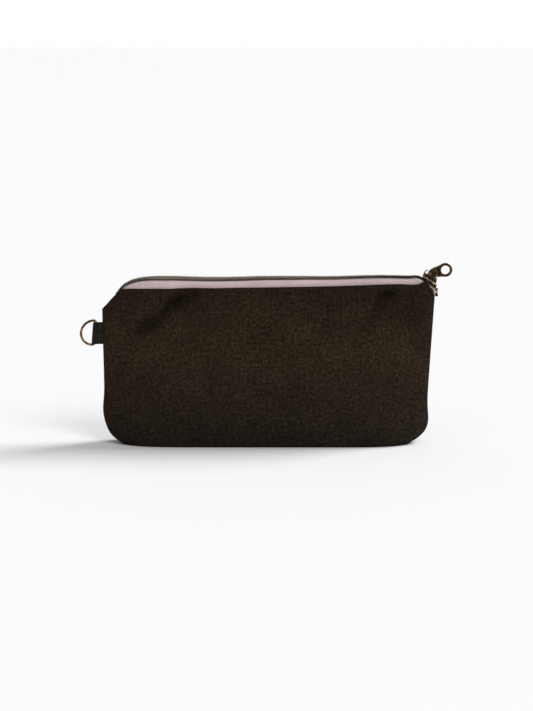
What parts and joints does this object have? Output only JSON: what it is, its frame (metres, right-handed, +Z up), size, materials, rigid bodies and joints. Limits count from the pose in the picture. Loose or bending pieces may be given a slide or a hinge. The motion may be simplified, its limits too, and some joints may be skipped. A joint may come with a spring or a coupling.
{
  "type": "zippered pouch",
  "caption": "Small standing cloth pouch with a boxed base, a zipper along the top ridge, a ring-shaped pull and a side tab holding a D-ring.",
  "frame": {"origin": "middle of the underside of the boxed base", "axes": "+X along the zipper towards its closed end, -Y out of the front, +Z up"},
  "size_m": [0.2301, 0.0358, 0.1124],
  "materials": {
    "canvas": "matte dark olive-brown plain weave",
    "lining": "matte light cotton",
    "stiffener": "matte felt",
    "zipper_tape": "matte pink ribbed tape",
    "coil": "bronze metallic coating on a nylon coil",
    "brass": "worn antique brass",
    "webbing": "matte dark grey-green webbing",
    "ring_wire": "dark bronze plate",
    "thread": "matte dark thread"
  },
  "bodies": {
    "base": {"base_panel": "canvas", "base_interlining": "stiffener", "base_lining": "lining", "left_side_seam": "canvas", "right_side_seam": "canvas", "bottom_stop": "brass", "front_top_stop": "brass", "back_top_stop": "brass"},
    "front_wall": {"front_panel": "canvas", "front_interlining": "stiffener", "front_lining": "lining", "front_zipper_tape": "zipper_tape", "front_teeth": "coil", "front_coil_cord": "thread"},
    "back_wall": {"back_panel": "canvas", "back_interlining": "stiffener", "back_lining": "lining", "back_zipper_tape": "zipper_tape", "back_teeth": "coil", "back_coil_cord": "thread"},
    "carriage": {"crown_pin": "brass"},
    "slider": {"slider_body": "brass"},
    "pull": {"pull_tab": "brass"},
    "tab": {"tab_loop": "webbing", "tab_stitching": "thread"},
    "ring": {"d_ring": "ring_wire"}
  },
  "joints": [
    {"name": "slider_travel", "type": "slide", "parent": "base", "child": "carriage", "axis": [-0.9998, 0, 0.0176], "range_m": [0, 0.1785], "deforming": ["front_zipper_tape", "front_teeth", "front_coil_cord", "back_zipper_tape", "back_teeth", "back_coil_cord"]},
    {"name": "slider_tilt", "type": "hinge", "parent": "carriage", "child": "slider", "pos_m": [0.09978, 0, 0.10587], "axis": [0, -1, 0], "range_deg": [0, 22]},
    {"name": "pull_flip", "type": "hinge", "parent": "carriage", "child": "pull", "pos_m": [0.09978, 0, 0.10587], "axis": [0, -1, 0], "range_deg": [0, 140]},
    {"name": "front_lean", "type": "hinge", "parent": "base", "child": "front_wall", "pos_m": [0, -0.01742, 0.0011], "axis": [1, 0, 0], "range_deg": [0, 10]},
    {"name": "back_lean", "type": "hinge", "parent": "base", "child": "back_wall", "pos_m": [0, 0.01742, 0.0011], "axis": [-1, 0, 0], "range_deg": [0, 10]},
    {"name": "tab_flex", "type": "hinge", "parent": "base", "child": "tab", "pos_m": [-0.10287, 0, 0.069], "axis": [0, 0, 1], "range_deg": [-40, 40]},
    {"name": "ring_swing", "type": "hinge", "parent": "tab", "child": "ring", "pos_m": [-0.10747, 0, 0.069], "axis": [0, 0, 1], "range_deg": [-80, 80]}
  ],
  "couplings": [
    {"joint": "slider_tilt", "follows": "slider_travel", "rad_per_m": 2.1511},
    {"joint": "front_lean", "follows": "slider_travel", "rad_per_m": 0.9777},
    {"joint": "back_lean", "follows": "slider_travel", "rad_per_m": 0.9777}
  ]
}
